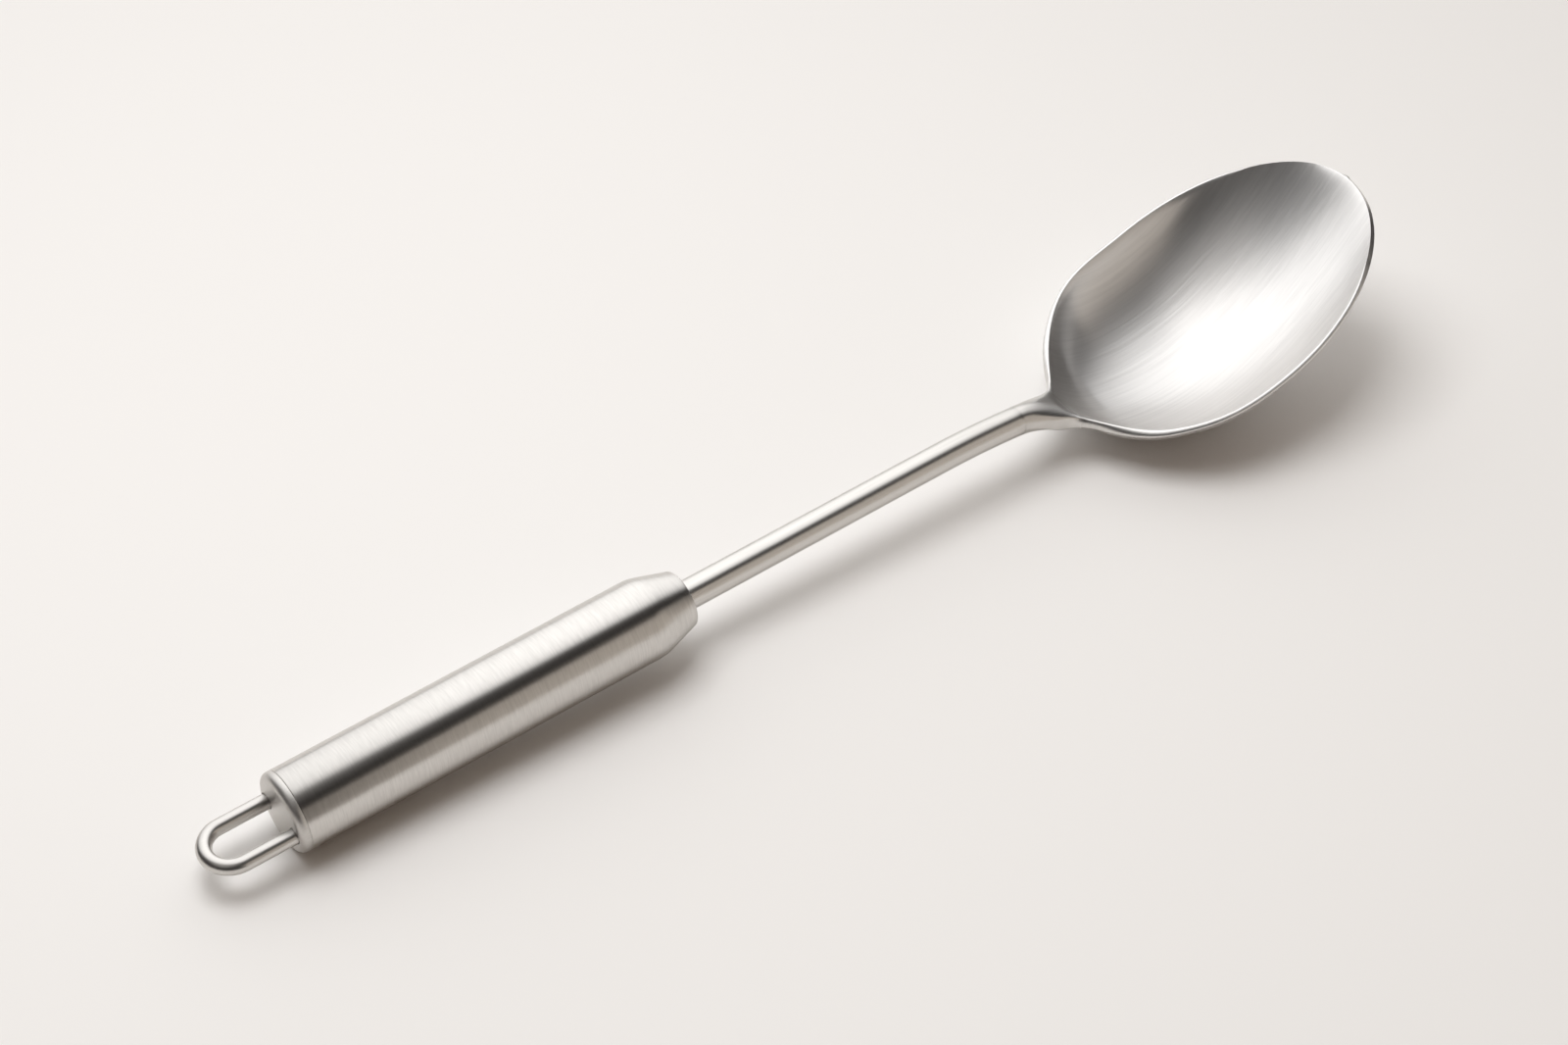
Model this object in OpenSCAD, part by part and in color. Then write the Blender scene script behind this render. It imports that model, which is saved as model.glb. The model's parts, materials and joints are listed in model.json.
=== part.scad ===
// Serving spoon in satin steel: a pressed bowl on a round shaft, a hollow
// tube handle drawn in to a cone at the front, and a turned end cap that
// holds a bent wire loop for hanging. Millimetres. The pieces are drawn
// along the handle's axis and then laid down as the spoon rests on a table.

/* [Handle tube] */
// Outside diameter of the tube
tube_d = 20; // [16:0.5:25]
// Wall of the tube
tube_wall = 0.8; // [0.5:0.1:1.2]
// Length of the straight tube, from its rear edge to the cone
tube_len = 95; // [70:1:130]
// Length of the cone that narrows the front
cone_len = 10; // [6:0.5:16]
// Length of the soft bend between the tube and the cone, on each side
crease_len = 1.6; // [0.5:0.1:3]
// Diameter of the nose at the end of the cone
nose_d = 14; // [11.6:0.1:15]
// Radius of the nose's rounded edge
nose_round = 0.7; // [0.3:0.1:0.8]

/* [Nose bush and locating disc] */
// Length of the tapered bush that closes the cone round the shaft
bush_len = 5; // [3:0.5:5.5]
// Depth of the bush's face behind the nose
bush_set = 0.5; // [0.2:0.1:1]
// Thickness of the disc that centres the shaft inside the tube
disc_t = 4; // [2:0.5:8]
// Clearance round pieces that are pushed together
push_fit = 0.04; // [0.02:0.01:0.08]

/* [End cap] */
// Height of the cap that shows behind the tube
cap_h = 2.5; // [1.5:0.1:5]
// Radius of the rounded edge of the cap
cap_round = 1.9; // [0.5:0.1:2.2]
// Length of the cap's spigot inside the tube
spigot_len = 6; // [4:0.5:10]
// Depth of the fine groove between the cap and the tube
seam_depth = 0.15; // [0.05:0.05:0.3]
// Width of the fine groove between the cap and the tube
seam_w = 0.2; // [0.1:0.05:0.3]

/* [Hanging loop] */
// Diameter of the loop's wire
wire_d = 3.8; // [3:0.1:4.4]
// Metal left between the wire's holes and the cap's spigot edge
hole_edge = 0.9; // [0.8:0.1:1.4]
// Straight length of each leg outside the cap
loop_leg = 12.2; // [8:0.1:25]
// Distance of the loop below the handle's axis
loop_drop = 1; // [0:0.1:1.4]
// Clearance round the wire in the cap's holes
wire_gap = 0.2; // [0.1:0.05:0.3]
// Wall of the retaining collars behind the cap
collar_wall = 0.8; // [0.5:0.1:0.8]
// Length of each retaining collar
collar_len = 3; // [2:0.5:5]

/* [Shaft] */
// Diameter of the round shaft
shaft_d = 7.4; // [6:0.1:8.5]
// Length of shaft inside the handle, behind the cone
shaft_in = 62; // [35:1:65]
// Straight length of shaft in front of the nose
shaft_out = 75; // [50:1:110]
// Radius of the gentle bend in front of the straight length
bend_r = 200; // [140:5:400]
// Angle of the gentle bend
bend_angle = 7; // [4:0.5:9]

/* [Bowl] */
// Width of the bowl inside its rim
bowl_w = 64; // [54:1:80]
// Length of the neck and the swelling half of the bowl
bowl_rear = 60; // [52:1:72]
// Length of the round half of the bowl, to its tip
bowl_front = 45; // [38:1:56]
// Depth of the bowl below its rim
bowl_depth = 19.7; // [15:0.1:23]
// Thickness of the bowl's sheet
sheet_t = 1.3; // [1:0.1:1.8]
// Width of the neck where it meets the bowl
neck_w = 10.4; // [8.6:0.1:13]
// Fillet between the neck and the bowl's outline
neck_fillet = 5.4; // [3:0.2:7]
// Thickness of the flattened neck where the sheet begins
neck_t = 2.8; // [1.8:0.1:3.2]
// Length of the neck behind the hollow of the bowl
neck_len = 12; // [10:0.5:14]
// Drop of the rim from the end of the shaft to the bowl's shoulders
neck_dip = 2.2; // [1:0.1:4]
// Rise of the rim from the widest place to the tip
tip_rise = 17.4; // [10:0.2:20]
// Rise of the rim from the shoulders to the widest place
rear_rise = 8.4; // [6:0.2:11]

/* [Hidden] */

// Colours of the bright, satin and inner steel
bright = "gainsboro";
satin = "silver";
inner = "darkgray";

// Number of facets round turned pieces
turned_fn = 96;
// Overrun of every cut
cut = 1;

// Radii and places along the handle's axis, from the tube's rear edge
tube_r = tube_d / 2;
shaft_r = shaft_d / 2;
wire_r = wire_d / 2;
nose_x = tube_len + cone_len;
straight_x = nose_x + shaft_out;
bend_x = straight_x + bend_r * sin(bend_angle);
bend_z = bend_r * (cos(bend_angle) - 1);
wide_x = bend_x + bowl_rear;
tip_x = wide_x + bowl_front;
bore_r = tube_r - tube_wall;
spigot_r = bore_r - push_fit;
// Distance between the centres of the loop's legs
loop_w = 2 * (bore_r - hole_edge - wire_gap - wire_r);
leg_x = -cap_h - loop_leg;
loop_end_x = leg_x - loop_w / 2 - wire_r;
collar_x = spigot_len;

// Shapes of the bowl: exponents of its outline and of its hollow, as shares
rear_outline_shares = [3.5, 1.77];
rear_hollow_shares = [2.6, 2.05];
front_hollow_shares = [1.85, 1.33];
across_share = 1.85;
tip_outline_share = 0.5;
// Roundness of the bowl's section: none at 0, a half circle at 1
section_round_share = 0.88;
// Part of the rim that the rows across the bowl end on, as an angle
tip_arc = 45;
// Angle at which the round neck's top and bottom meet its sides
neck_arc = 85;
// How far the rolled edge of the sheet stands out, of its thickness
edge_bulge_share = 0.3;
// Places along the neck and the shoulders, of the neck's length
outline_start_share = 0.77;
sheet_start_share = 0.9;
flat_end_share = 1.9;
sheet_end_share = 2.3;
shoulder_share = 2.5;
arc_end_share = 2.6;
thin_end_share = 3.2;
// Steepness of the rim at the shoulders, of the slope of a plain curve
shoulder_slope_share = 1.8;
// Step of a slope's measurement, of the bowl's length
slope_step_share = 0.001;
// How far inside the rim a slope is taken, of the way to the middle
slope_pull_share = 0.02;
// Rows of the bowl along its length, and points across it
neck_rows = 12;
rear_rows = 14;
front_rows = 12;
across = 24;

// Smooth step from 0 at a to 1 at b
function ease(a, b, x) = let (t = max(0, min(1, (x - a) / (b - a)))) t * t * (3 - 2 * t);
function mix(a, b, t) = a + (b - a) * t;
// Larger of two widths, with a fillet of size k where they meet
function fillet_max(a, b, k) = max(a, b) + pow(max(k - abs(a - b), 0), 2) / (4 * k);
// Cubic curve from height a to height b over the length l, with slopes at its ends
function hermite(a, b, slope_a, slope_b, l, t) =
    a * (1 + 2 * t) * (1 - t) * (1 - t) + l * slope_a * t * (1 - t) * (1 - t)
    + b * t * t * (3 - 2 * t) - l * slope_b * t * t * (1 - t);

// Places along the bowl
dip_x = bend_x + neck_len * shoulder_share;
hollow_x = bend_x + neck_len;
flat_x = bend_x + neck_len * flat_end_share;
sheet_start_x = bend_x + neck_len * sheet_start_share;
sheet_end_x = bend_x + neck_len * sheet_end_share;
arc_end_x = bend_x + neck_len * arc_end_share;
thin_x = bend_x + neck_len * thin_end_share;
outline_x = bend_x + neck_len * outline_start_share;
dip_z = bend_z - neck_dip;
wide_z = dip_z + rear_rise;
// Slopes of the rim at the neck, at its widest place and at its tip
bend_slope = -tan(bend_angle);
rear_slope = rear_rise / (wide_x - dip_x);
front_slope = tip_rise / bowl_front;
wide_slope = (rear_slope + front_slope) / 2;
dip_slope = shoulder_slope_share * (2 * rear_slope - wide_slope);
tip_slope = 2 * front_slope - wide_slope;

// Height of the rim's top edge
function rim_z(x) =
    x < dip_x ? hermite(bend_z, dip_z, bend_slope, dip_slope, dip_x - bend_x, (x - bend_x) / (dip_x - bend_x))
    : x < wide_x ? hermite(dip_z, wide_z, dip_slope, wide_slope, wide_x - dip_x, (x - dip_x) / (wide_x - dip_x))
    : hermite(wide_z, wide_z + tip_rise, wide_slope, tip_slope, bowl_front, (x - wide_x) / bowl_front);

// Half width of the bowl alone, as a share of its widest
function swell(x) =
    x < wide_x
    ? pow(max(0, 1 - pow(min(1, (wide_x - x) / (wide_x - outline_x)), rear_outline_shares[0])), rear_outline_shares[1])
    : pow(max(0, 1 - pow((x - wide_x) / bowl_front, 2)), tip_outline_share);
// Half width of the outline, with the neck
function half_w(x) =
    fillet_max(mix(shaft_r, neck_w / 2, ease(bend_x, hollow_x, x)), swell(x) * bowl_w / 2, neck_fillet);

// How much of the full hollow there is on the centre line
function hollow(x) =
    x < wide_x
    ? pow(max(0, 1 - pow(min(1, (wide_x - x) / (wide_x - hollow_x)), rear_hollow_shares[0])), rear_hollow_shares[1])
    : pow(max(0, 1 - pow((x - wide_x) / bowl_front, front_hollow_shares[0])), front_hollow_shares[1]);
// Round section of the hollow: 0 at the rim and 1 at the bottom
function cap_curve(u) =
    let (least = sqrt(1 - section_round_share))
    (sqrt(1 - section_round_share * (1 - max(0, min(1, u)))) - least) / (1 - least);
function hollow_z(x, y) =
    rim_z(x) - bowl_depth * cap_curve(hollow(x) * (1 - pow(abs(y) / max(half_w(x), sheet_t / 2), across_share)));

// Direction square to the hollow's surface, from slopes taken just inside the rim
function normal_at(x, y) =
    let (
        px = mix(x, wide_x, slope_pull_share),
        py = y * (1 - slope_pull_share),
        d = bowl_front * slope_step_share,
        n = [
            (hollow_z(px - d, py) - hollow_z(px + d, py)) / (2 * d),
            (hollow_z(px, py - d) - hollow_z(px, py + d)) / (2 * d),
            1
        ]
    )
    n / norm(n);

// Thickness of the sheet, which thins from the neck to the bowl
function sheet_at(x) = mix(neck_t, sheet_t, ease(hollow_x, thin_x, x));

// Lean of the neck's sections, which starts square to the end of the shaft
function lean(x) = -bend_angle * (1 - ease(bend_x, sheet_end_x, x));

// One point of the upper and of the lower surface. x and y are its place in plan and q
// runs from -1 to 1 across the row
function upper(x, y, q) =
    let (
        round_part = 1 - ease(bend_x, flat_x, x),
        lift = shaft_r * round_part * cos(q * neck_arc)
    )
    [x - lift * sin(lean(x)), y, hollow_z(x, y) + lift * cos(lean(x))];
function lower(x, y, q) =
    let (
        sag = mix(shaft_r * cos(q * neck_arc), neck_t, ease(bend_x, hollow_x, x)),
        under_neck = [x + sag * sin(lean(x)), y, hollow_z(x, y) - sag * cos(lean(x))],
        under_sheet = [x, y, hollow_z(x, y)] - sheet_at(x) * normal_at(x, y)
    )
    mix(under_neck, under_sheet, ease(sheet_start_x, sheet_end_x, x));

// Rows of the grid. Each row is [x at the centre line, x at the rim, half width, arc angle]
function neck_row(i) =
    let (x = mix(bend_x, hollow_x, i / neck_rows)) [x, x, half_w(x), neck_arc];
function rear_row(i) =
    let (
        x = mix(hollow_x, wide_x, i / rear_rows),
        arc = mix(neck_arc, tip_arc, ease(hollow_x, arc_end_x, x))
    )
    [x, x, half_w(x), arc];
function front_row(i) =
    let (t = i / front_rows, turn = sin(90 * t) * (90 - tip_arc))
    [
        wide_x + bowl_front * sin(90 * t),
        wide_x + bowl_front * sin(turn),
        bowl_w / 2 * cos(turn),
        tip_arc
    ];
rows = concat(
    [for (i = [0:neck_rows]) neck_row(i)],
    [for (i = [1:rear_rows]) rear_row(i)],
    [for (i = [1:front_rows]) front_row(i)]
);
last_row = len(rows) - 1;
function plan_point(row, q) =
    let (bow = (cos(q * row[3]) - cos(row[3])) / (1 - cos(row[3])))
    [mix(row[1], row[0], bow), row[2] * sin(q * row[3]) / sin(row[3])];

// Rest of the spoon on a table: the tilt at which the bowl and the tube's rear edge touch it
low_points = [
    for (i = [neck_rows:last_row])
    let (p = lower(rows[i][0], 0, 0)) atan((-tube_r - p[2]) / p[0])
];
rest_tilt = max(low_points);
rim_tip_z = wide_z + tip_rise;
loop_rear = loop_end_x * cos(rest_tilt) + loop_drop * sin(rest_tilt);
tip_front = tip_x * cos(rest_tilt) - rim_tip_z * sin(rest_tilt);

module laid_down() {
    translate([-(loop_rear + tip_front) / 2, 0, tube_r * cos(rest_tilt)])
        rotate([0, -rest_tilt, 0])
            children();
}

module turned(profile) {
    rotate([0, 90, 0])
        rotate_extrude($fn = turned_fn)
            polygon(profile);
}

module bowl() {
    step = 2 / across;
    top = [for (row = rows) [for (j = [0:across]) let (p = plan_point(row, j * step - 1)) upper(p[0], p[1], j * step - 1)]];
    under = [for (row = rows) [for (j = [0:across]) let (p = plan_point(row, j * step - 1)) lower(p[0], p[1], j * step - 1)]];
    // The edge runs up one side, round the tip and back down the other side
    edge = concat(
        [for (i = [0:last_row]) [i, 0, i, 1]],
        [for (j = [1:across - 1]) [last_row, j, last_row - 1, j]],
        [for (i = [last_row:-1:0]) [i, across, i, across - 1]]
    );
    rolled = [
        for (e = edge)
        let (
            a = top[e[0]][e[1]],
            b = under[e[0]][e[1]],
            out = a - top[e[2]][e[3]],
            away = out / norm(out)
        )
        (a + b) / 2 + away * norm(a - b) * edge_bulge_share
    ];
    wide = across + 1;
    count = len(rows) * wide;
    function up(i, j) = i * wide + j;
    function down(i, j) = count + i * wide + j;
    faces = concat(
        [for (i = [0:last_row - 1], j = [0:across - 1]) [up(i, j), up(i + 1, j), up(i, j + 1)]],
        [for (i = [0:last_row - 1], j = [0:across - 1]) [up(i + 1, j), up(i + 1, j + 1), up(i, j + 1)]],
        [for (i = [0:last_row - 1], j = [0:across - 1]) [down(i, j), down(i, j + 1), down(i + 1, j)]],
        [for (i = [0:last_row - 1], j = [0:across - 1]) [down(i + 1, j), down(i, j + 1), down(i + 1, j + 1)]],
        [for (k = [0:len(edge) - 2]) let (e = edge[k], f = edge[k + 1]) [up(e[0], e[1]), 2 * count + k, up(f[0], f[1])]],
        [for (k = [0:len(edge) - 2]) let (f = edge[k + 1]) [2 * count + k, 2 * count + k + 1, up(f[0], f[1])]],
        [for (k = [0:len(edge) - 2]) let (e = edge[k], f = edge[k + 1]) [down(e[0], e[1]), down(f[0], f[1]), 2 * count + k]],
        [for (k = [0:len(edge) - 2]) let (f = edge[k + 1]) [2 * count + k, down(f[0], f[1]), 2 * count + k + 1]],
        [concat(
            [for (j = [0:across]) up(0, j)],
            [2 * count + len(edge) - 1],
            [for (j = [across:-1:0]) down(0, j)],
            [2 * count]
        )]
    );
    color(satin)
        laid_down()
            polyhedron(points = concat([for (r = top) each r], [for (r = under) each r], rolled), faces = faces, convexity = 6);
}

module shaft() {
    color(satin)
        laid_down() {
            translate([nose_x - shaft_in, 0, 0])
                rotate([0, 90, 0])
                    cylinder(h = shaft_in + shaft_out, r = shaft_r, $fn = turned_fn);
            translate([straight_x, 0, -bend_r])
                rotate([-90, 0, 0])
                    rotate([0, 0, -90])
                        rotate_extrude(angle = bend_angle, $fn = turned_fn)
                            translate([bend_r, 0])
                                circle(r = shaft_r, $fn = turned_fn);
        }
}

module handle_tube() {
    steps = 6;
    narrowing = (tube_r - nose_d / 2) / cone_len;
    corner = [tube_r, tube_len];
    color(bright)
        laid_down()
            turned(concat(
                [
                    [bore_r, 0],
                    [tube_r - seam_depth, 0],
                    [tube_r, seam_w],
                ],
                [for (i = [0:steps]) let (t = i / steps)
                    corner + crease_len * [-narrowing * t * t, t * t - (1 - t) * (1 - t)]],
                [for (i = [0:steps]) let (a = 90 * i / steps)
                    [nose_d / 2 - nose_round * (1 - cos(a)), nose_x - nose_round * (1 - sin(a))]],
                [
                    [nose_d / 2 - tube_wall, nose_x],
                    [bore_r, tube_len],
                ]
            ));
}

module nose_bush() {
    hole_r = shaft_r + push_fit;
    front_x = nose_x - bush_set;
    taper = (tube_d - nose_d) / 2 / cone_len;
    front_r = nose_d / 2 - tube_wall + taper * bush_set - push_fit;
    color(inner)
        laid_down()
            turned([
                [hole_r, front_x - bush_len],
                [front_r + taper * bush_len, front_x - bush_len],
                [front_r, front_x],
                [hole_r, front_x],
            ]);
}

module locating_disc() {
    disc_x = nose_x - shaft_in;
    color(inner)
        laid_down()
            turned([
                [shaft_r + push_fit, disc_x],
                [spigot_r, disc_x],
                [spigot_r, disc_x + disc_t],
                [shaft_r + push_fit, disc_x + disc_t],
            ]);
}

module end_cap() {
    steps = 8;
    color(bright)
        laid_down()
            difference() {
                turned(concat(
                    [[0, -cap_h]],
                    [for (i = [0:steps]) let (a = 90 * i / steps)
                        [tube_r - cap_round * (1 - sin(a)), -cap_h + cap_round * (1 - cos(a))]],
                    [
                        [tube_r, -seam_w],
                        [tube_r - seam_depth, 0],
                        [spigot_r, 0],
                        [spigot_r, spigot_len],
                        [0, spigot_len],
                    ]
                ));
                for (side = [-1, 1])
                    translate([-cap_h - cut, side * loop_w / 2, -loop_drop])
                        rotate([0, 90, 0])
                            cylinder(h = cap_h + spigot_len + 2 * cut, r = wire_r + wire_gap, $fn = turned_fn);
            }
}

module hanging_loop() {
    color(bright)
        laid_down()
            translate([0, 0, -loop_drop]) {
                for (side = [-1, 1])
                    translate([leg_x, side * loop_w / 2, 0])
                        rotate([0, 90, 0])
                            cylinder(h = collar_x + collar_len - leg_x, r = wire_r, $fn = turned_fn);
                translate([leg_x, 0, 0])
                    rotate([0, 0, 90])
                        rotate_extrude(angle = 180, $fn = turned_fn)
                            translate([loop_w / 2, 0])
                                circle(r = wire_r, $fn = turned_fn);
            }
}

module loop_collars() {
    color(inner)
        laid_down()
            for (side = [-1, 1])
                translate([0, side * loop_w / 2, -loop_drop])
                    turned([
                        [wire_r + push_fit, collar_x],
                        [wire_r + collar_wall, collar_x],
                        [wire_r + collar_wall, collar_x + collar_len],
                        [wire_r + push_fit, collar_x + collar_len],
                    ]);
}

bowl();
shaft();
handle_tube();
nose_bush();
locating_disc();
end_cap();
hanging_loop();
loop_collars();
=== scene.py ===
"""A satin steel serving spoon lying on a pale table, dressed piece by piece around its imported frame."""
import json
import math

import bpy
from mathutils import Matrix, Vector


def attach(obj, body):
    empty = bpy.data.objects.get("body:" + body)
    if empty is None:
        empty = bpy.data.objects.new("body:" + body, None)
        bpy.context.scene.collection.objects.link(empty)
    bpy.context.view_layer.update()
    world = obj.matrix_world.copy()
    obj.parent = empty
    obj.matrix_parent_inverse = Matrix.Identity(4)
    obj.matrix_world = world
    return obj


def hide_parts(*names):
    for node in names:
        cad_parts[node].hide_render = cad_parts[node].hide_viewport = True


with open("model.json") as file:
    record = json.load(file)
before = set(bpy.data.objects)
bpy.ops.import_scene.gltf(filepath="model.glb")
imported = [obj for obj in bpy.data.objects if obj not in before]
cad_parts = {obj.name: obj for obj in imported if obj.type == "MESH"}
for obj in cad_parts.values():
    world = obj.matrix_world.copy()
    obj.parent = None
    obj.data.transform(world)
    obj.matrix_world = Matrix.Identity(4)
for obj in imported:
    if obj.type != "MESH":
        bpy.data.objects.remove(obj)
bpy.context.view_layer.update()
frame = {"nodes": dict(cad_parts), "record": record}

# Camera
# A short telephoto looks down at 45 degrees on the middle of the spoon, from beside the handle.
# The spoon runs from the lower left of the picture to its upper right.
VIEW_DISTANCE = 0.813
VIEW_ELEVATION = math.radians(45)
VIEW_TURN = math.radians(-35.65)
VIEW_TARGET = Vector((0.0040, 0.0175, 0))
VIEW_LENS_MM = 76.5
SENSOR_MM = 36
view_back = Vector((
    math.sin(VIEW_TURN) * math.cos(VIEW_ELEVATION),
    -math.cos(VIEW_TURN) * math.cos(VIEW_ELEVATION),
    math.sin(VIEW_ELEVATION),
))
bpy.ops.object.camera_add()
camera = bpy.context.object
camera.location = VIEW_TARGET + VIEW_DISTANCE * view_back
camera.rotation_mode = "QUATERNION"
camera.rotation_quaternion = (-view_back).to_track_quat("-Z", "Y")
camera.data.lens = VIEW_LENS_MM
camera.data.sensor_width = SENSOR_MM
bpy.context.scene.camera = camera
bpy.context.scene.view_settings.view_transform = "Standard"


# Studio light
# A dim warm room with a faint glow at one side, a soft panel high behind the spoon, a low warm board
# in front of it, and a dark gap between them, which gives the steel its black band.
def linear(hex_colour):
    """An sRGB colour such as #D8D5D0 as linear RGBA."""
    parts = [int(hex_colour[i:i + 2], 16) / 255 for i in (1, 3, 5)]
    return (*[p / 12.92 if p <= 0.04045 else ((p + 0.055) / 1.055) ** 2.4 for p in parts], 1)


def add_node(tree, kind, links=None, sockets=None, **settings):
    """Adds a node. links and sockets say what feeds each input and what it is set to."""
    node = tree.nodes.new(kind)
    for name, value in settings.items():
        setattr(node, name, value)
    for name, value in (sockets or {}).items():
        node.inputs[name].default_value = value
    for name, source in (links or {}).items():
        tree.links.new(source, node.inputs[name])
    return node


def set_ramp(node, stops):
    """Gives a colour ramp its stops, as (position, colour)."""
    ramp = node.color_ramp
    for spare in list(ramp.elements)[1:]:
        ramp.elements.remove(spare)
    for i, (position, colour) in enumerate(stops):
        stop = ramp.elements[0] if i == 0 else ramp.elements.new(position)
        stop.position = position
        stop.color = colour if len(colour) == 4 else (*colour, 1)


def way(azimuth, elevation):
    """Direction from the spoon, with angles in degrees."""
    a, e = math.radians(azimuth), math.radians(elevation)
    return Vector((math.cos(e) * math.cos(a), math.cos(e) * math.sin(a), math.sin(e)))


# The table is lit from the back of the room. The steel shows a dark room with the glow in it.
ROOM_WAY = way(70, 25)
ROOM_BACK = (1.30, 1.29, 1.26)
ROOM_FRONT = (0.135, 0.092, 0.062)
FRONT_SHARE = 0.54
DARK = (0.020, 0.018, 0.018)
GLOW_WAY = way(-167, 62)
GLOW_START = 0.84
GLOW_COLOUR = (0.33, 0.32, 0.31)
room = bpy.data.worlds.new("studio_room")
bpy.context.scene.world = room
room.use_nodes = True
tree = room.node_tree
tree.nodes.clear()
direction = add_node(tree, "ShaderNodeTexCoord").outputs["Generated"]
toward = add_node(tree, "ShaderNodeVectorMath", {0: direction}, {1: ROOM_WAY}, operation="DOT_PRODUCT")
share = add_node(tree, "ShaderNodeMapRange", {"Value": toward.outputs["Value"]},
                 {"From Min": -1, "From Max": 1})
wash = add_node(tree, "ShaderNodeValToRGB", {"Fac": share.outputs[0]})
set_ramp(wash, [(FRONT_SHARE, ROOM_FRONT), (1, ROOM_BACK)])
room_light = add_node(tree, "ShaderNodeBackground", {"Color": wash.outputs["Color"]}, {"Strength": 1})
dim_light = add_node(tree, "ShaderNodeBackground", None, {"Color": (*DARK, 1), "Strength": 1})
toward = add_node(tree, "ShaderNodeVectorMath", {0: direction}, {1: GLOW_WAY}, operation="DOT_PRODUCT")
glow = add_node(tree, "ShaderNodeMapRange", {"Value": toward.outputs["Value"]}, {"From Min": GLOW_START},
                interpolation_type="SMOOTHSTEP")
light = add_node(tree, "ShaderNodeBackground", {"Strength": glow.outputs[0]}, {"Color": (*GLOW_COLOUR, 1)})
dim_light = add_node(tree, "ShaderNodeAddShader", {0: dim_light.outputs[0], 1: light.outputs[0]})
ray = add_node(tree, "ShaderNodeLightPath")
seen = add_node(tree, "ShaderNodeMixShader",
                {0: ray.outputs["Is Glossy Ray"], 1: room_light.outputs[0], 2: dim_light.outputs[0]})
add_node(tree, "ShaderNodeOutputWorld", {"Surface": seen.outputs[0]})


def hang_panel(name, middle, back, width, height):
    """An area light whose emission of strength 1 is as bright as white paper. back is its rear."""
    bpy.ops.object.light_add(type="AREA", location=middle)
    panel = bpy.context.object
    panel.name = name
    panel.rotation_mode = "QUATERNION"
    panel.rotation_quaternion = back.to_track_quat("Z", "Y")
    panel.data.shape = "RECTANGLE"
    panel.data.size = width
    panel.data.size_y = height
    panel.data.energy = math.pi * width * height
    return panel


# The panel hangs close behind the spoon, shows only in the steel, and fades outwards and at its foot.
# PANEL_FALL gives its brightness at shares of half its height, from the middle outwards.
PANEL_MIDDLE = Vector((0.050, 0.185, 0.290))
PANEL_BACK = way(72.8, 38.4)
PANEL_WIDTH = 1.08
PANEL_HEIGHT = 1.4
PANEL_POWER = 0.86
PANEL_FALL = ((0, 1.97), (0.21, 1.92), (0.34, 1.73), (0.51, 1.52), (0.69, 1.08), (0.83, 0.42), (1, 0))
PANEL_FOOT = 0.07
RAMP_TOP = 3
panel = hang_panel("soft_panel", PANEL_MIDDLE, PANEL_BACK, PANEL_WIDTH, PANEL_HEIGHT)
panel.visible_diffuse = False
panel.visible_camera = False
panel.data.use_nodes = True
tree = panel.data.node_tree
tree.nodes.clear()
sheet = add_node(tree, "ShaderNodeNewGeometry").outputs
middle = add_node(tree, "ShaderNodeVectorMath", {0: sheet["Parametric"]}, {1: (0.5, 0.5, 0)},
                  operation="SUBTRACT")
reach = add_node(tree, "ShaderNodeVectorMath", {0: middle.outputs[0]}, operation="LENGTH")
fall = add_node(tree, "ShaderNodeValToRGB", {"Fac": reach.outputs["Value"]})
set_ramp(fall, [(r / 2, (v / RAMP_TOP, v / RAMP_TOP, v / RAMP_TOP)) for r, v in PANEL_FALL])
above = add_node(tree, "ShaderNodeSeparateXYZ", {0: sheet["Position"]}).outputs["Z"]
rise = add_node(tree, "ShaderNodeMapRange", {"Value": above},
                {"From Min": 0, "From Max": PANEL_FOOT, "To Min": 0, "To Max": RAMP_TOP * PANEL_POWER})
shine = add_node(tree, "ShaderNodeEmission", {"Color": fall.outputs["Color"], "Strength": rise.outputs[0]})
add_node(tree, "ShaderNodeOutputLight", {"Surface": shine.outputs[0]})

# The low warm board on the camera's side shows in the lower half of every round form
BOARD_WAY = way(-64.5, 0)
BOARD_DISTANCE = 0.70
BOARD_WIDTH = 0.95
BOARD_HEIGHT = 0.60
BOARD_COLOUR = (1, 0.91, 0.81)
BOARD_POWER = 0.57
board = hang_panel("warm_board", BOARD_DISTANCE * BOARD_WAY + Vector((0, 0, BOARD_HEIGHT / 2)), BOARD_WAY,
                   BOARD_WIDTH, BOARD_HEIGHT)
board.data.energy *= BOARD_POWER
board.data.color = BOARD_COLOUR
board.visible_diffuse = False
board.visible_camera = False

# One softbox nearly overhead gives the table its slow fall of light and the spoon its shadow
KEY_WAY = way(114, 75.5)
KEY_DISTANCE = 0.80
KEY_SIZE = 0.54
KEY_POWER = 3.7
key = hang_panel("softbox", VIEW_TARGET + KEY_DISTANCE * KEY_WAY, KEY_WAY, KEY_SIZE, KEY_SIZE)
key.data.energy = KEY_POWER
key.visible_glossy = False

# Table
# A smooth warm white board. It takes the spoon's soft shadow and shows in the steel.
TABLE_HALF = 3.0
TABLE_COLOUR = "#F0EFEE"
bpy.ops.object.select_all(action="DESELECT")
bpy.ops.mesh.primitive_plane_add(size=2 * TABLE_HALF)
table = bpy.context.object
table.name = "table_top"
paint = bpy.data.materials.new("table_matt_white")
paint.use_nodes = True
paint.node_tree.nodes.clear()
shade = add_node(paint.node_tree, "ShaderNodeBsdfDiffuse", None, {"Color": linear(TABLE_COLOUR)})
add_node(paint.node_tree, "ShaderNodeOutputMaterial", {"Surface": shade.outputs[0]})
table.data.materials.append(paint)

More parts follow.
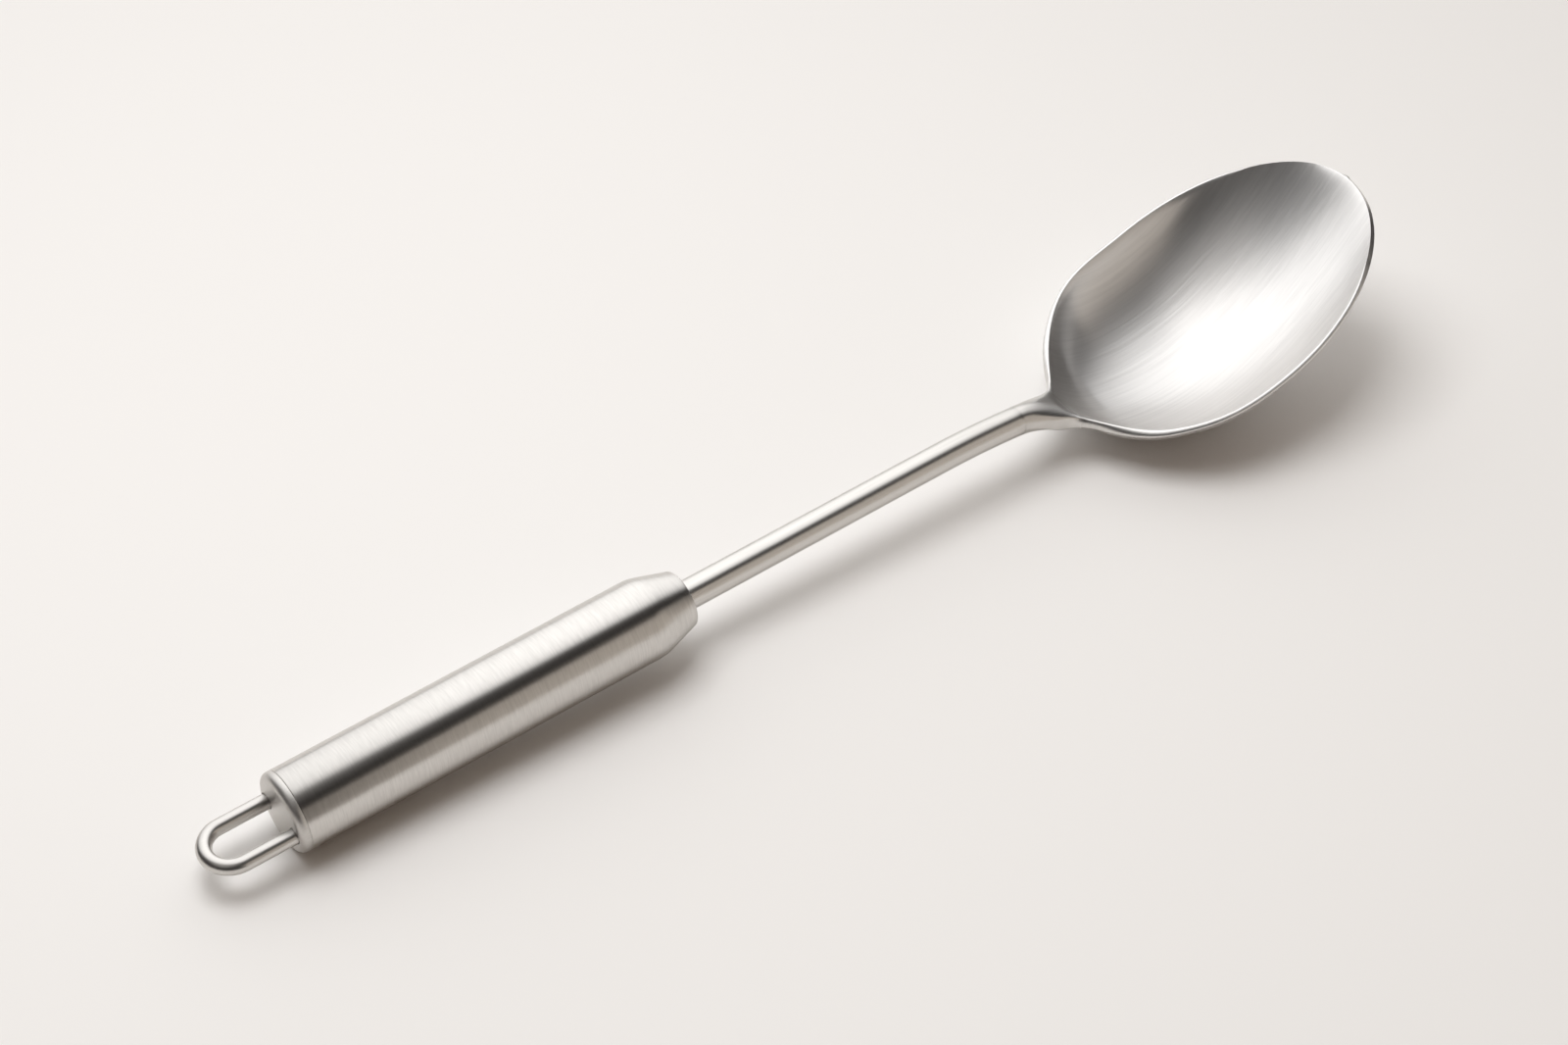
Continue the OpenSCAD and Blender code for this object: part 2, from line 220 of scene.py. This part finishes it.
# Bowl
# Pressed from 1.3 mm stainless sheet, deep and oval, with its neck left thick where the shaft is
# butt welded on and ground flush. Satin brushed along its length inside and out.
MM = 0.001
SHAFT_R = 3.7 * MM
SEAM_X = 204.37 * MM
SEAM_Z = -1.49 * MM
SEAM_LEAN = math.radians(-7)
NECK_LENGTH = 12 * MM
NECK_HALF_WIDTH = 5.2 * MM
NECK_FILLET = 5.4 * MM
FILLET_START = 3
NECK_THICKNESS = 2.8 * MM
BOWL_HALF_WIDTH = 32 * MM
BOWL_REAR = 60 * MM
BOWL_FRONT = 45 * MM
BOWL_DEPTH = 19.7 * MM
SHEET = 1.3 * MM
RIM_DIP = 2.2 * MM
RIM_REAR_RISE = 8.4 * MM
RIM_TIP_RISE = 17.4 * MM
EDGE_STAND_OUT = 0.3
# Exponents of the outline and of the hollow, and how round the section is, from flat to a half circle
REAR_OUTLINE = (3.5, 1.77)
REAR_HOLLOW = (2.6, 2.05)
FRONT_HOLLOW = (1.85, 1.33)
ACROSS_CURVE = 1.85
ROUNDNESS = 0.88
# Places behind the hollow and on the shoulders, in lengths of the neck
OUTLINE_START = 0.77
SHEET_START = 0.9
FLAT_END = 1.9
SHEET_END = 2.3
SHOULDER = 2.5
ARC_END = 2.6
THIN_END = 3.2
SHOULDER_SLOPE = 1.8

grip = next(m for m in frame["record"]["mounts"] if m["name"] == "grip")
GRIP_MIDDLE = 46.8 * MM
axis = -Vector(grip["axis"])
tilt = math.atan2(axis.z, axis.x)
axis_start = Vector(grip["pos_m"]) - axis * GRIP_MIDDLE
lying = Matrix.Translation(axis_start) @ Matrix.Rotation(-tilt, 4, "Y")

wide_x = SEAM_X + BOWL_REAR
dip_x = SEAM_X + SHOULDER * NECK_LENGTH
flat_x = SEAM_X + FLAT_END * NECK_LENGTH
sheet_x = SEAM_X + SHEET_END * NECK_LENGTH
thin_x = SEAM_X + THIN_END * NECK_LENGTH
hollow_x = SEAM_X + NECK_LENGTH
swell_x = SEAM_X + OUTLINE_START * NECK_LENGTH
dip_z = SEAM_Z - RIM_DIP
wide_z = dip_z + RIM_REAR_RISE
rear_slope = RIM_REAR_RISE / (wide_x - dip_x)
front_slope = RIM_TIP_RISE / BOWL_FRONT
wide_slope = (rear_slope + front_slope) / 2
dip_slope = SHOULDER_SLOPE * (2 * rear_slope - wide_slope)


def ease(a, b, x):
    """0 before a, 1 after b and a smooth step between."""
    t = min(1, max(0, (x - a) / (b - a)))
    return t * t * (3 - 2 * t)


def mix(a, b, t):
    return a + (b - a) * t


def cubic(a, b, slope_a, slope_b, length, t):
    """Height on a cubic curve from a to b that leaves and arrives at the given slopes."""
    u = 1 - t
    return (a * (1 + 2 * t) * u * u + length * slope_a * t * u * u
            + b * t * t * (3 - 2 * t) - length * slope_b * t * t * u)


def rim_height(x):
    """Height of the rim's top edge above the handle's axis."""
    if x < dip_x:
        return cubic(SEAM_Z, dip_z, math.tan(SEAM_LEAN), dip_slope,
                     dip_x - SEAM_X, (x - SEAM_X) / (dip_x - SEAM_X))
    if x < wide_x:
        return cubic(dip_z, wide_z, dip_slope, wide_slope,
                     wide_x - dip_x, (x - dip_x) / (wide_x - dip_x))
    return cubic(wide_z, wide_z + RIM_TIP_RISE, wide_slope, 2 * front_slope - wide_slope,
                 BOWL_FRONT, (x - wide_x) / BOWL_FRONT)


def half_width(x):
    """Half the width of the outline: the neck, a fillet, and the oval of the bowl."""
    if x < wide_x:
        power, root = REAR_OUTLINE
        share = max(0, 1 - min(1, (wide_x - x) / (wide_x - swell_x)) ** power) ** root
    else:
        share = math.sqrt(max(0, 1 - ((x - wide_x) / BOWL_FRONT) ** 2))
    swell = ease(SEAM_X, hollow_x, x)
    neck = mix(SHAFT_R, NECK_HALF_WIDTH, swell)
    oval = share * BOWL_HALF_WIDTH
    # The fillet starts from nothing at the seam, where the neck is flush with the shaft
    fillet = min(1, FILLET_START * swell) * max(NECK_FILLET - abs(neck - oval), 0) ** 2 / (4 * NECK_FILLET)
    return max(neck, oval) + fillet


def surface_height(x, y):
    """Height of the hollow's surface above the handle's axis."""
    if x < wide_x:
        power, root = REAR_HOLLOW
        share = max(0, 1 - min(1, (wide_x - x) / (wide_x - hollow_x)) ** power) ** root
    else:
        power, root = FRONT_HOLLOW
        share = max(0, 1 - ((x - wide_x) / BOWL_FRONT) ** power) ** root
    inside = min(1, max(0, share * (1 - (abs(y) / max(half_width(x), SHEET / 2)) ** ACROSS_CURVE)))
    least = math.sqrt(1 - ROUNDNESS)
    depth = (math.sqrt(1 - ROUNDNESS * (1 - inside)) - least) / (1 - least)
    return rim_height(x) - BOWL_DEPTH * depth


# How far inside the rim a slope is taken, as a share of the way in, and the step that measures it
PULL_IN = 0.02
SLOPE_STEP = 0.05 * MM


def surface_normal(x, y):
    """Direction square to the hollow, from slopes taken just inside the rim."""
    x, y = mix(x, wide_x, PULL_IN), y * (1 - PULL_IN)
    d = SLOPE_STEP
    return Vector((
        (surface_height(x - d, y) - surface_height(x + d, y)) / (2 * d),
        (surface_height(x, y - d) - surface_height(x, y + d)) / (2 * d),
        1,
    )).normalized()


# Rows of the bowl's grid along the neck, the rear, the front and the roll over the tip, and its
# points across the sheet and round its edge. TIP_BACK is the part of a row that the tip looks back.
NECK_ROWS = 16
REAR_ROWS = 34
FRONT_ROWS = 30
ROLL_ROWS = 4
ACROSS = 48
ROLL_POINTS = 6
LAST_ROW = NECK_ROWS + REAR_ROWS + FRONT_ROWS
NECK_ARC = math.radians(85)
TIP_ARC = math.radians(45)
TIP_BACK = 0.1


def row_plan(i):
    """Row i of the bowl: (x on the centre line, x at the rim, half width, arc)."""
    if i <= NECK_ROWS:
        x = mix(SEAM_X, hollow_x, i / NECK_ROWS)
        return x, x, half_width(x), NECK_ARC
    if i <= NECK_ROWS + REAR_ROWS:
        x = mix(hollow_x, wide_x, (i - NECK_ROWS) / REAR_ROWS)
        arc = mix(NECK_ARC, TIP_ARC, ease(hollow_x, SEAM_X + ARC_END * NECK_LENGTH, x))
        return x, x, half_width(x), arc
    t = math.sin(math.pi / 2 * (i - NECK_ROWS - REAR_ROWS) / FRONT_ROWS)
    turn = t * (math.pi / 2 - TIP_ARC)
    return (wide_x + BOWL_FRONT * t, wide_x + BOWL_FRONT * math.sin(turn),
            BOWL_HALF_WIDTH * math.cos(turn), TIP_ARC)


def sheet_point(i, q, side):
    """A point of row i at q, from -1 to 1 across. side is 1 for the top and 0 for the underside."""
    centre_x, rim_x, half, arc = row_plan(i)
    bow = (math.cos(q * arc) - math.cos(arc)) / (1 - math.cos(arc))
    x, y = mix(rim_x, centre_x, bow), half * math.sin(q * arc) / math.sin(arc)
    lean = SEAM_LEAN * (1 - ease(SEAM_X, sheet_x, x))
    flat = ease(SEAM_X, flat_x, x)
    roundness = math.cos(q * NECK_ARC)
    base = Vector((x, y, surface_height(x, y)))
    up = Vector((-math.sin(lean), 0, math.cos(lean)))
    if side:
        return base + up * SHAFT_R * (1 - flat) * roundness
    sag = mix(SHAFT_R * roundness, NECK_THICKNESS, ease(SEAM_X, hollow_x, x))
    sheet = mix(NECK_THICKNESS, SHEET, ease(hollow_x, thin_x, x))
    sheet_part = ease(SEAM_X + SHEET_START * NECK_LENGTH, sheet_x, x)
    return (base - up * sag).lerp(base - surface_normal(x, y) * sheet, sheet_part)


def edge_point(i, q, turn):
    """A point of the rounded edge at q = -1 or 1, or on the tip. turn runs from 90 on top to -90."""
    top, under = sheet_point(i, q, 1), sheet_point(i, q, 0)
    if abs(q) == 1 and i < LAST_ROW:
        inner = sheet_point(i, q * (1 - PULL_IN), 1)
    else:
        inner = sheet_point(i - TIP_BACK, q * (1 - PULL_IN / 2), 1)
    out = (top - inner).normalized()
    half = (top - under) / 2
    bulge = out * 2 * half.length * EDGE_STAND_OUT
    return (top + under) / 2 + half * math.sin(turn) + bulge * math.cos(turn)


def around(k):
    """Place k round a section: (q, turn), turn 90 on top, -90 underneath."""
    if k <= ACROSS:
        return 2 * k / ACROSS - 1, math.pi / 2
    k -= ACROSS
    if k <= ROLL_POINTS:
        return 1, math.pi / 2 - math.pi * k / ROLL_POINTS
    k -= ROLL_POINTS
    if k <= ACROSS:
        return 1 - 2 * k / ACROSS, -math.pi / 2
    k -= ACROSS
    return -1, -math.pi / 2 + math.pi * k / ROLL_POINTS


def bowl_point(i, k):
    """Where the bowl's grid has its point of row i and place k. Rows past the last roll over the tip."""
    q, turn = around(k)
    if i > LAST_ROW:
        limit = math.pi / 2 * (1 - (i - LAST_ROW) / ROLL_ROWS)
        return edge_point(LAST_ROW, q, max(-limit, min(limit, turn)))
    if abs(turn) == math.pi / 2:
        return sheet_point(i, q, 1 if turn > 0 else 0)
    return edge_point(i, q, turn)


# A flat grid is wrapped to the closed shape: its rows run along the bowl, its columns round it
bpy.ops.object.select_all(action="DESELECT")
places = 2 * (ACROSS + ROLL_POINTS)
rows = LAST_ROW + ROLL_ROWS
bpy.ops.mesh.primitive_grid_add(x_subdivisions=rows, y_subdivisions=places, size=1)
bowl = bpy.context.object
bowl.name = "spoon_bowl"
for point in bowl.data.vertices:
    i = round((point.co.x + 0.5) * rows)
    k = round((point.co.y + 0.5) * places)
    point.co = bowl_point(i, k)

WELD_GAP = 0.002 * MM


def close_up(piece):
    """Welds the points that meet and turns the faces outwards."""
    bpy.context.view_layer.objects.active = piece
    bpy.ops.object.mode_set(mode="EDIT")
    bpy.ops.mesh.select_all(action="SELECT")
    bpy.ops.mesh.remove_doubles(threshold=WELD_GAP)
    bpy.ops.mesh.normals_make_consistent(inside=False)
    bpy.ops.object.mode_set(mode="OBJECT")


def lay_down(piece):
    """Moves a piece drawn along the handle's axis to where the spoon lies, and leaves it at the origin."""
    piece.data.transform(lying)
    piece.data.update()


close_up(bowl)
lay_down(bowl)
bpy.ops.object.shade_smooth()
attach(bowl, "root")
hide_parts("bowl")

# Stainless steel, satin brushed along the spoon with a fine belt. The brushing shows as faint long
# streaks and spreads the light across them. The belt's own lines are a tenth of a millimetre wide
# and too fine to show, so they are drawn wider. The neck is smoother and a little darker.
STEEL = "#CECBC7"
STREAK_LENGTH = 30 * MM
STREAK_WIDTH = 0.7 * MM
STREAK_HEIGHT = 8 * MM


def brushed_steel(name, colour, roughness, streaks, groove, spread=0, turn=0, shade=0.04, blend=None):
    """Brushed steel. streaks are the three sizes of the brushing and groove its depth, in metres.
    spread is how far it stretches a highlight and turn which way, and shade how much its lines vary in
    brightness. blend is (x, x, colour, roughness) for a finish that begins as another one and changes
    along the spoon."""
    steel = bpy.data.materials.new(name)
    steel.use_nodes = True
    tree = steel.node_tree
    tree.nodes.clear()
    place = add_node(tree, "ShaderNodeTexCoord").outputs["Object"]
    stretch = add_node(tree, "ShaderNodeMapping", {"Vector": place},
                       {"Scale": tuple(1 / s for s in streaks)})
    grain = add_node(tree, "ShaderNodeTexNoise", {"Vector": stretch.outputs[0]},
                     {"Scale": 1, "Detail": 2, "Roughness": 0.6})
    lines = add_node(tree, "ShaderNodeMapRange", {"Value": grain.outputs["Fac"]},
                     {"From Min": 0.3, "From Max": 0.7, "To Min": 1 - shade, "To Max": 1 + shade})
    tone = add_node(tree, "ShaderNodeVectorMath", {"Scale": lines.outputs[0]}, {0: linear(colour)[:3]},
                    operation="SCALE")
    relief = add_node(tree, "ShaderNodeBump", {"Height": grain.outputs["Fac"]},
                      {"Strength": 1, "Distance": groove})
    surface = add_node(tree, "ShaderNodeBsdfPrincipled",
                       {"Base Color": tone.outputs[0], "Normal": relief.outputs[0]},
                       {"Roughness": roughness, "Metallic": 1, "Anisotropic": spread,
                        "Anisotropic Rotation": turn})
    if blend:
        start, end, first_colour, first_roughness = blend
        along = add_node(tree, "ShaderNodeSeparateXYZ", {0: place}).outputs["X"]
        share = add_node(tree, "ShaderNodeMapRange", {"Value": along}, {"From Min": start, "From Max": end},
                         interpolation_type="SMOOTHSTEP").outputs[0]
        finish = add_node(tree, "ShaderNodeMapRange", {"Value": share},
                          {"To Min": first_roughness, "To Max": roughness})
        tree.links.new(finish.outputs[0], surface.inputs["Roughness"])
        colours = add_node(tree, "ShaderNodeValToRGB", {"Fac": share})
        set_ramp(colours, [(0, linear(first_colour)), (1, linear(colour))])
        tree.links.new(colours.outputs["Color"], tone.inputs[0])
    if spread:
        lengthwise = add_node(tree, "ShaderNodeCombineXYZ", None, {"X": 1})
        tree.links.new(lengthwise.outputs[0], surface.inputs["Tangent"])
    add_node(tree, "ShaderNodeOutputMaterial", {"Surface": surface.outputs[0]})
    return steel


def give(piece, material):
    """Replaces all of a piece's materials with one."""
    piece.data.materials.clear()
    piece.data.materials.append(material)


BOWL_STEEL = "#DDDBD9"
NECK_ROUGHNESS = 0.22
NECK_FADE = 2.2 * NECK_LENGTH
neck_place = lying @ Vector((SEAM_X, 0, SEAM_Z))
bowl_steel = brushed_steel("stainless_brushed_along", BOWL_STEEL, roughness=0.31,
                           streaks=(STREAK_LENGTH, STREAK_WIDTH, STREAK_HEIGHT), groove=0.028 * MM,
                           spread=0.71, turn=0.25, shade=0.05,
                           blend=(neck_place.x, neck_place.x + NECK_FADE, STEEL, NECK_ROUGHNESS))
give(bowl, bowl_steel)

# Shaft
# A round stainless rod, straight out of the handle and gently bent down to the neck. Its end is
# butt welded to the neck, so it reaches a little way in there.
SHAFT_START = 99.5 * MM
SHAFT_STRAIGHT = 180 * MM
BEND_R = 200 * MM
BEND_STEPS = 12
WELD_REACH = 0.4 * MM
WELD_SHRINK = 0.96
CRISP_EDGE = math.radians(30)
bpy.ops.object.select_all(action="DESELECT")
bpy.ops.mesh.primitive_circle_add(vertices=64, radius=SHAFT_R, fill_type="NGON",
                                  location=(SHAFT_START, 0, 0), rotation=(0, math.pi / 2, 0))
shaft = bpy.context.object
shaft.name = "round_shaft"
bpy.ops.object.transform_apply(location=True, rotation=True, scale=True)
bpy.ops.object.mode_set(mode="EDIT")
bpy.ops.mesh.select_all(action="SELECT")
bpy.ops.mesh.extrude_region_move(TRANSFORM_OT_translate={"value": (SHAFT_STRAIGHT - SHAFT_START, 0, 0)})
bpy.ops.mesh.spin(steps=BEND_STEPS, angle=SEAM_LEAN, center=(SHAFT_STRAIGHT, 0, -BEND_R), axis=(0, 1, 0))
bpy.ops.mesh.extrude_region_move(TRANSFORM_OT_translate={"value": (WELD_REACH, 0, 0)})
bpy.ops.transform.resize(value=(WELD_SHRINK, WELD_SHRINK, WELD_SHRINK),
                         center_override=(SEAM_X + WELD_REACH, 0, SEAM_Z))
bpy.ops.object.mode_set(mode="OBJECT")
close_up(shaft)
lay_down(shaft)
bpy.ops.object.shade_smooth_by_angle(angle=CRISP_EDGE)
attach(shaft, "root")
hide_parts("shaft")

# Stainless steel, cold drawn and belt finished: smoother than the bowl, with sharper highlights that
# run along it and only a trace of lines.
rod_steel = brushed_steel("stainless_drawn_rod", STEEL, roughness=NECK_ROUGHNESS,
                          streaks=(STREAK_LENGTH, STREAK_WIDTH, STREAK_WIDTH), groove=0.01 * MM,
                          spread=0.71, turn=0.25)
give(shaft, rod_steel)

# Handle tube
# A thin drawn stainless tube, swaged to a cone and rolled round at the nose, then brushed round
# and round on a lathe.
TUBE_R = 10 * MM
TUBE_WALL = 0.8 * MM
TUBE_LENGTH = 95 * MM
CONE_LENGTH = 10 * MM
CREASE_SOFT = 1.6 * MM
NOSE_R = 7 * MM
NOSE_ROUND = 0.6 * MM
NOSE_DEPTH = 1.5 * MM
SEAM_SOFT = 0.15 * MM
NEAR = 0.01 * MM


def select_where(piece, test, kind="EDGE"):
    """Leaves edit mode with only the edges or faces selected whose every point passes the test."""
    bpy.ops.mesh.select_mode(type=kind)
    bpy.ops.mesh.select_all(action="DESELECT")
    bpy.ops.object.mode_set(mode="OBJECT")
    points = piece.data.vertices
    for item in piece.data.edges if kind == "EDGE" else piece.data.polygons:
        item.select = all(test(points[v].co) for v in item.vertices)
    bpy.ops.object.mode_set(mode="EDIT")


bpy.ops.object.select_all(action="DESELECT")
bpy.ops.mesh.primitive_cylinder_add(vertices=160, radius=TUBE_R, depth=TUBE_LENGTH,
                                    location=(TUBE_LENGTH / 2, 0, 0), rotation=(0, math.pi / 2, 0))
tube = bpy.context.object
tube.name = "handle_shell"
bpy.ops.object.transform_apply(location=True, rotation=True, scale=True)
bpy.ops.object.mode_set(mode="EDIT")
select_where(tube, lambda p: p.x > TUBE_LENGTH - MM, "FACE")
bpy.ops.mesh.extrude_region_move(TRANSFORM_OT_translate={"value": (CONE_LENGTH, 0, 0)})
nose_share = NOSE_R / TUBE_R
bpy.ops.transform.resize(value=(1, nose_share, nose_share), center_override=(0, 0, 0))
bpy.ops.mesh.inset(thickness=TUBE_WALL, depth=0)
bpy.ops.mesh.extrude_region_move(TRANSFORM_OT_translate={"value": (-NOSE_DEPTH, 0, 0)})
select_where(tube, lambda p: abs(p.x - TUBE_LENGTH) < NEAR)
bpy.ops.mesh.bevel(offset=CREASE_SOFT, segments=8, affect="EDGES")
nose_x = TUBE_LENGTH + CONE_LENGTH
select_where(tube, lambda p: abs(p.x - nose_x) < NEAR and math.hypot(p.y, p.z) > NOSE_R - TUBE_WALL / 2)
bpy.ops.mesh.bevel(offset=NOSE_ROUND, segments=6, affect="EDGES")
select_where(tube, lambda p: p.x < NEAR)
bpy.ops.mesh.bevel(offset=SEAM_SOFT, segments=3, affect="EDGES")
bpy.ops.object.mode_set(mode="OBJECT")
close_up(tube)
lay_down(tube)
bpy.ops.object.shade_smooth_by_angle(angle=CRISP_EDGE)
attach(tube, "root")
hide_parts("handle_tube")

# Stainless steel, brushed with a fleece while it turns on a lathe: faint rings round the tube, and
# highlights that stretch along it. The rings are drawn 0.4 mm wide, coarser than real, so they show.
tube_steel = brushed_steel("stainless_brushed_round", STEEL, roughness=0.3,
                           streaks=(0.4 * MM, 5 * MM, 5 * MM), groove=0.01 * MM, spread=0.8, shade=0.06)
give(tube, tube_steel)

# Nose bush, locating disc and loop collars
# Turned steel rings round the shaft: one closes the cone, the other sits deep inside the tube. Two
# collars hold the loop's wire behind the cap. All keep the plain darker finish of the lathe.
turned_steel = brushed_steel("stainless_as_turned", "#A9A7A3", roughness=0.35,
                             streaks=(0.3 * MM, 4 * MM, 4 * MM), groove=0.005 * MM)
for name in ("nose_bush", "locating_disc", "loop_collars"):
    give(frame["nodes"][name], turned_steel)

# End cap
# A turned stainless plug pressed into the tube. Its edge is rounded, its face flat, and it is
# drilled for the loop's two legs.
CAP_HEIGHT = 2.5 * MM
CAP_ROUND = 1.9 * MM
SPIGOT_LENGTH = 6 * MM
SPIGOT_R = 9.16 * MM
WIRE_R = 1.9 * MM
WIRE_GAP = 0.2 * MM
LOOP_HALF = 6.2 * MM
LOOP_DROP = 1.0 * MM
DRILL_LENGTH = 30 * MM
bpy.ops.object.select_all(action="DESELECT")
bpy.ops.mesh.primitive_cylinder_add(vertices=160, radius=TUBE_R, depth=CAP_HEIGHT,
                                    location=(-CAP_HEIGHT / 2, 0, 0), rotation=(0, math.pi / 2, 0))
cap = bpy.context.object
cap.name = "turned_end_cap"
bpy.ops.object.transform_apply(location=True, rotation=True, scale=True)
bpy.ops.object.mode_set(mode="EDIT")
select_where(cap, lambda p: p.x < -CAP_HEIGHT / 2)
bpy.ops.mesh.bevel(offset=CAP_ROUND, segments=12, affect="EDGES")
select_where(cap, lambda p: abs(p.x) < NEAR)
bpy.ops.mesh.bevel(offset=SEAM_SOFT, segments=3, affect="EDGES")
select_where(cap, lambda p: abs(p.x) < NEAR, "FACE")
bpy.ops.mesh.inset(thickness=TUBE_R - SPIGOT_R - SEAM_SOFT, depth=0)
bpy.ops.mesh.extrude_region_move(TRANSFORM_OT_translate={"value": (SPIGOT_LENGTH, 0, 0)})
bpy.ops.object.mode_set(mode="OBJECT")
for side in (-1, 1):
    bpy.ops.object.select_all(action="DESELECT")
    bpy.ops.mesh.primitive_cylinder_add(vertices=64, radius=WIRE_R + WIRE_GAP, depth=DRILL_LENGTH,
                                        location=(0, side * LOOP_HALF, -LOOP_DROP),
                                        rotation=(0, math.pi / 2, 0))
    drill = bpy.context.object
    bpy.context.view_layer.objects.active = cap
    cut = cap.modifiers.new("drilled_hole", "BOOLEAN")
    cut.operation = "DIFFERENCE"
    cut.solver = "EXACT"
    cut.object = drill
    bpy.ops.object.modifier_apply(modifier=cut.name)
    bpy.data.objects.remove(drill)
bpy.ops.object.select_all(action="DESELECT")
cap.select_set(True)
close_up(cap)
lay_down(cap)
bpy.ops.object.shade_smooth_by_angle(angle=CRISP_EDGE)
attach(cap, "root")
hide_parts("end_cap")

# Stainless steel, fine turned and satin finished: a soft even sheen with hardly a line in it.
cap_steel = brushed_steel("stainless_satin_turned", STEEL, roughness=0.42,
                          streaks=(4 * MM, 0.3 * MM, 0.3 * MM), groove=0.004 * MM)
give(cap, cap_steel)

# Hanging loop
# One stainless wire bent to a U. Its legs go square into the cap's two holes, where collars hold
# them from behind.
LEG_X = -14.7 * MM
LEG_END = 9 * MM
LOOP_STEPS = 48
bpy.ops.object.select_all(action="DESELECT")
bpy.ops.mesh.primitive_circle_add(vertices=48, radius=WIRE_R, fill_type="NGON",
                                  location=(LEG_END, LOOP_HALF, -LOOP_DROP), rotation=(0, math.pi / 2, 0))
loop = bpy.context.object
loop.name = "wire_hanging_loop"
bpy.ops.object.transform_apply(location=True, rotation=True, scale=True)
bpy.ops.object.mode_set(mode="EDIT")
bpy.ops.mesh.select_all(action="SELECT")
bpy.ops.mesh.extrude_region_move(TRANSFORM_OT_translate={"value": (LEG_X - LEG_END, 0, 0)})
bpy.ops.mesh.spin(steps=LOOP_STEPS, angle=-math.pi, center=(LEG_X, 0, -LOOP_DROP), axis=(0, 0, 1))
bpy.ops.mesh.extrude_region_move(TRANSFORM_OT_translate={"value": (LEG_END - LEG_X, 0, 0)})
bpy.ops.object.mode_set(mode="OBJECT")
close_up(loop)
lay_down(loop)
bpy.ops.object.shade_smooth_by_angle(angle=CRISP_EDGE)
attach(loop, "root")
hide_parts("hanging_loop")

# Bright drawn stainless wire: smooth, with a soft highlight and the faint lines of the die along it.
wire_steel = brushed_steel("stainless_bright_wire", STEEL, roughness=0.31,
                           streaks=(3 * MM, 0.3 * MM, 0.3 * MM), groove=0.003 * MM)
give(loop, wire_steel)
